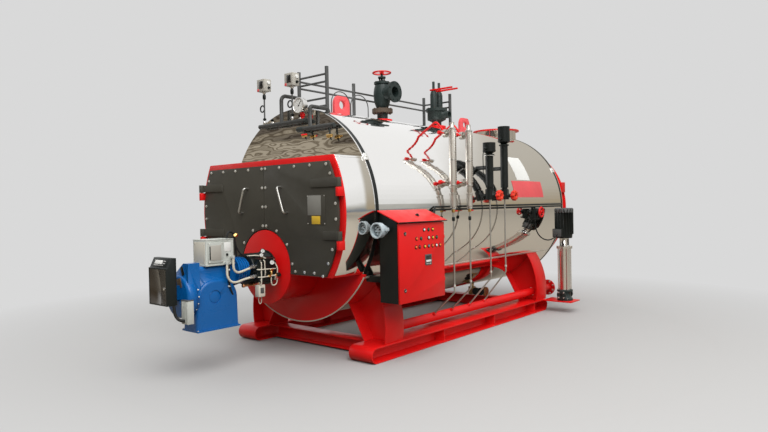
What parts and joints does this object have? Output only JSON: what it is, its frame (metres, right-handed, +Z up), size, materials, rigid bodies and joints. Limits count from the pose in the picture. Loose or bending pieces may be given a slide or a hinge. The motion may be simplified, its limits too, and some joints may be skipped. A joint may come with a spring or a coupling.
{
  "type": "industrial boiler",
  "caption": "Horizontal fire-tube steam boiler on a skid, with burner, hinged smokebox doors, control cabinet, valves and feed pump.",
  "frame": {"origin": "on the floor, under the middle of the whole boiler with its burner and pump", "axes": "+Z up, +Y along the boiler from the burner to the flue, so the front faces -Y, +X towards the cabinet side"},
  "size_m": [2.505, 6.094, 3.116],
  "materials": {
    "mirror_cladding": "polished sheet with slight ripples",
    "red_paint": "gloss red paint",
    "black_paint": "satin black paint",
    "grey_paint": "satin dark grey paint",
    "steel": "plain steel",
    "polished_steel": "bright steel",
    "blue_paint": "gloss blue paint",
    "pale_plastic": "moulded light grey",
    "cable_rubber": "matt black",
    "braided_hose": "pale braid"
  },
  "bodies": {
    "boiler": {"cladding_upper": "mirror_cladding", "cladding_lower": "mirror_cladding", "front_cap": "mirror_cladding", "tube_plate": "steel", "front_plate": "red_paint", "rear_plate": "steel", "smokebox_walls": "red_paint", "smokebox_top": "red_paint", "smokebox_floor": "red_paint", "door_frame": "red_paint", "furnace_neck": "red_paint", "burner_plate": "red_paint", "rear_smokebox": "red_paint", "rear_cover": "red_paint", "flue_outlet": "red_paint", "skid_rail_left": "red_paint", "skid_rail_right": "red_paint", "saddles_front": "red_paint", "saddles_rear": "red_paint", "cross_beams": "red_paint", "valve_pads": "red_paint", "steam_valve": "black_paint", "steam_outlet_flange": "black_paint", "lifting_lugs": "red_paint", "safety_valve": "black_paint", "safety_levers": "red_paint", "guard_rail": "grey_paint", "pressure_manifolds": "grey_paint", "pressure_switches": "pale_plastic", "pressure_gauge": "polished_steel", "level_gauges": "polished_steel", "level_gauge_pipes": "red_paint", "level_probes": "black_paint", "feed_valve": "black_paint", "blowdown_valve": "black_paint", "drain_pipes": "steel", "drain_header": "red_paint", "cabinet": "black_paint", "cabinet_socket": "pale_plastic", "conduits": "grey_paint", "pump_plate": "red_paint", "pump_body": "polished_steel", "pump_motor": "black_paint", "burner_head": "black_paint", "burner_housing": "blue_paint", "burner_control_box": "pale_plastic", "burner_panel": "black_paint", "pump_cable": "cable_rubber", "panel_hose": "cable_rubber", "oil_hose_1": "braided_hose", "oil_hose_2": "braided_hose"},
    "door_left_body": {"door_left": "grey_paint", "door_left_handle": "steel"},
    "door_right_body": {"door_right": "grey_paint", "door_right_handle": "steel"},
    "cabinet_door_body": {"cabinet_door": "red_paint"},
    "steam_wheel_body": {"steam_handwheel": "red_paint"},
    "probe_wheel_1_body": {"probe_handwheel_1": "red_paint"},
    "probe_wheel_2_body": {"probe_handwheel_2": "red_paint"},
    "feed_wheel_body": {"feed_handwheel": "red_paint"}
  },
  "joints": [
    {"name": "door_left_hinge", "type": "hinge", "parent": "boiler", "child": "door_left_body", "pos_m": [-1.2225, -1.922, 1.19], "axis": [0, 0, -1], "range_deg": [0, 110]},
    {"name": "door_right_hinge", "type": "hinge", "parent": "boiler", "child": "door_right_body", "pos_m": [0.8675, -1.922, 1.19], "axis": [0, 0, 1], "range_deg": [0, 110]},
    {"name": "cabinet_door_hinge", "type": "hinge", "parent": "boiler", "child": "cabinet_door_body", "pos_m": [1.125, -0.713, 0.74], "axis": [0, 0, 1], "range_deg": [0, 120]},
    {"name": "steam_wheel_turn", "type": "hinge", "parent": "boiler", "child": "steam_wheel_body", "pos_m": [-0.1775, -0.072, 3.098], "axis": [0, 0, 1], "range_deg": [0, 1440]},
    {"name": "probe_wheel_1_turn", "type": "hinge", "parent": "boiler", "child": "probe_wheel_1_body", "pos_m": [1.0715, 0.508, 1.585], "axis": [1, 0, 0], "range_deg": [0, 1080]},
    {"name": "probe_wheel_2_turn", "type": "hinge", "parent": "boiler", "child": "probe_wheel_2_body", "pos_m": [1.0715, 0.858, 1.585], "axis": [1, 0, 0], "range_deg": [0, 1080]},
    {"name": "feed_wheel_turn", "type": "hinge", "parent": "boiler", "child": "feed_wheel_body", "pos_m": [1.0515, 1.633, 1.37], "axis": [1, 0, 0], "range_deg": [0, 1440]}
  ]
}
